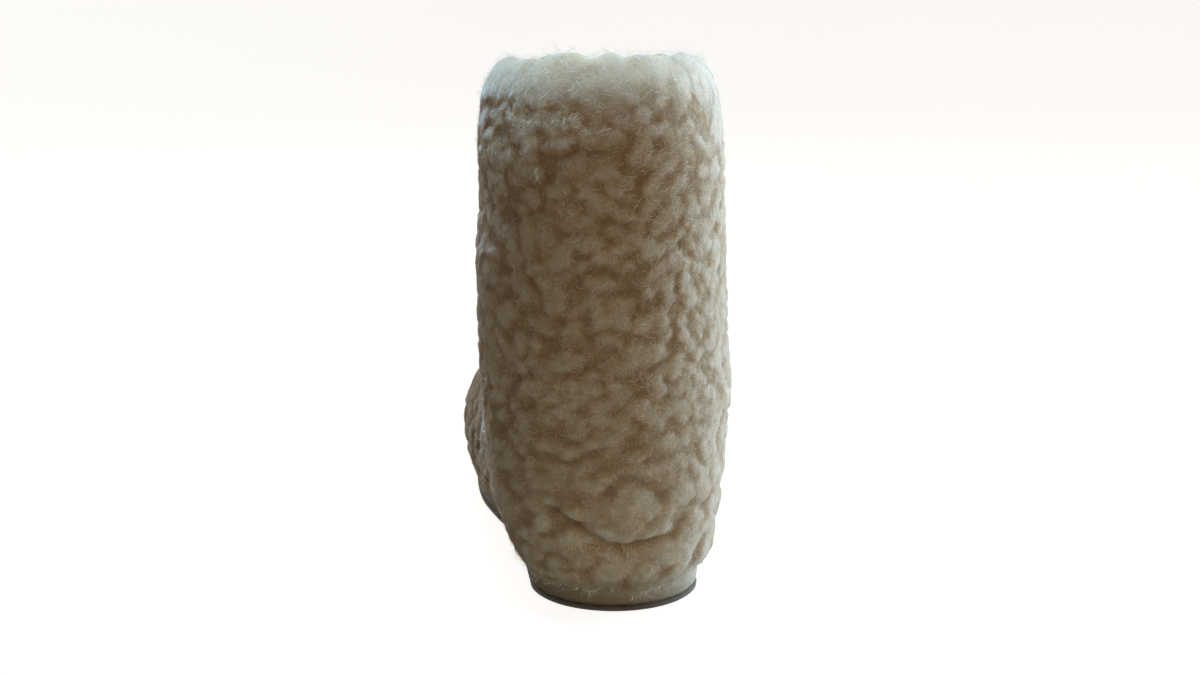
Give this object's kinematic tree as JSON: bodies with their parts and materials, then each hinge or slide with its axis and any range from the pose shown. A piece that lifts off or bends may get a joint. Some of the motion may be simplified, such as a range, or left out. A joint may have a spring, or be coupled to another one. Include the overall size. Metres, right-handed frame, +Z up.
{
  "type": "wool slipper boot",
  "caption": "Tall wool-pile slipper boot for the right foot: hollow curly fleece upper with a thick rounded collar on a cloth-wrapped midsole and thin grip outsole.",
  "frame": {"origin": "on the floor under the middle of the heel", "axes": "+Z up, +Y from heel to toe, +X to the wearer's right, the outer side of this right foot"},
  "size_m": [0.1136, 0.2825, 0.2313],
  "materials": {
    "outsole_grip": "matt, fine grained",
    "midsole_cloth": "smooth brushed cloth",
    "lining_wool": "short wool pile",
    "upper_wool": "deep curly wool pile"
  },
  "bodies": {
    "root": {"outsole": "outsole_grip", "midsole": "midsole_cloth", "insole": "lining_wool", "upper": "upper_wool"}
  },
  "joints": []
}
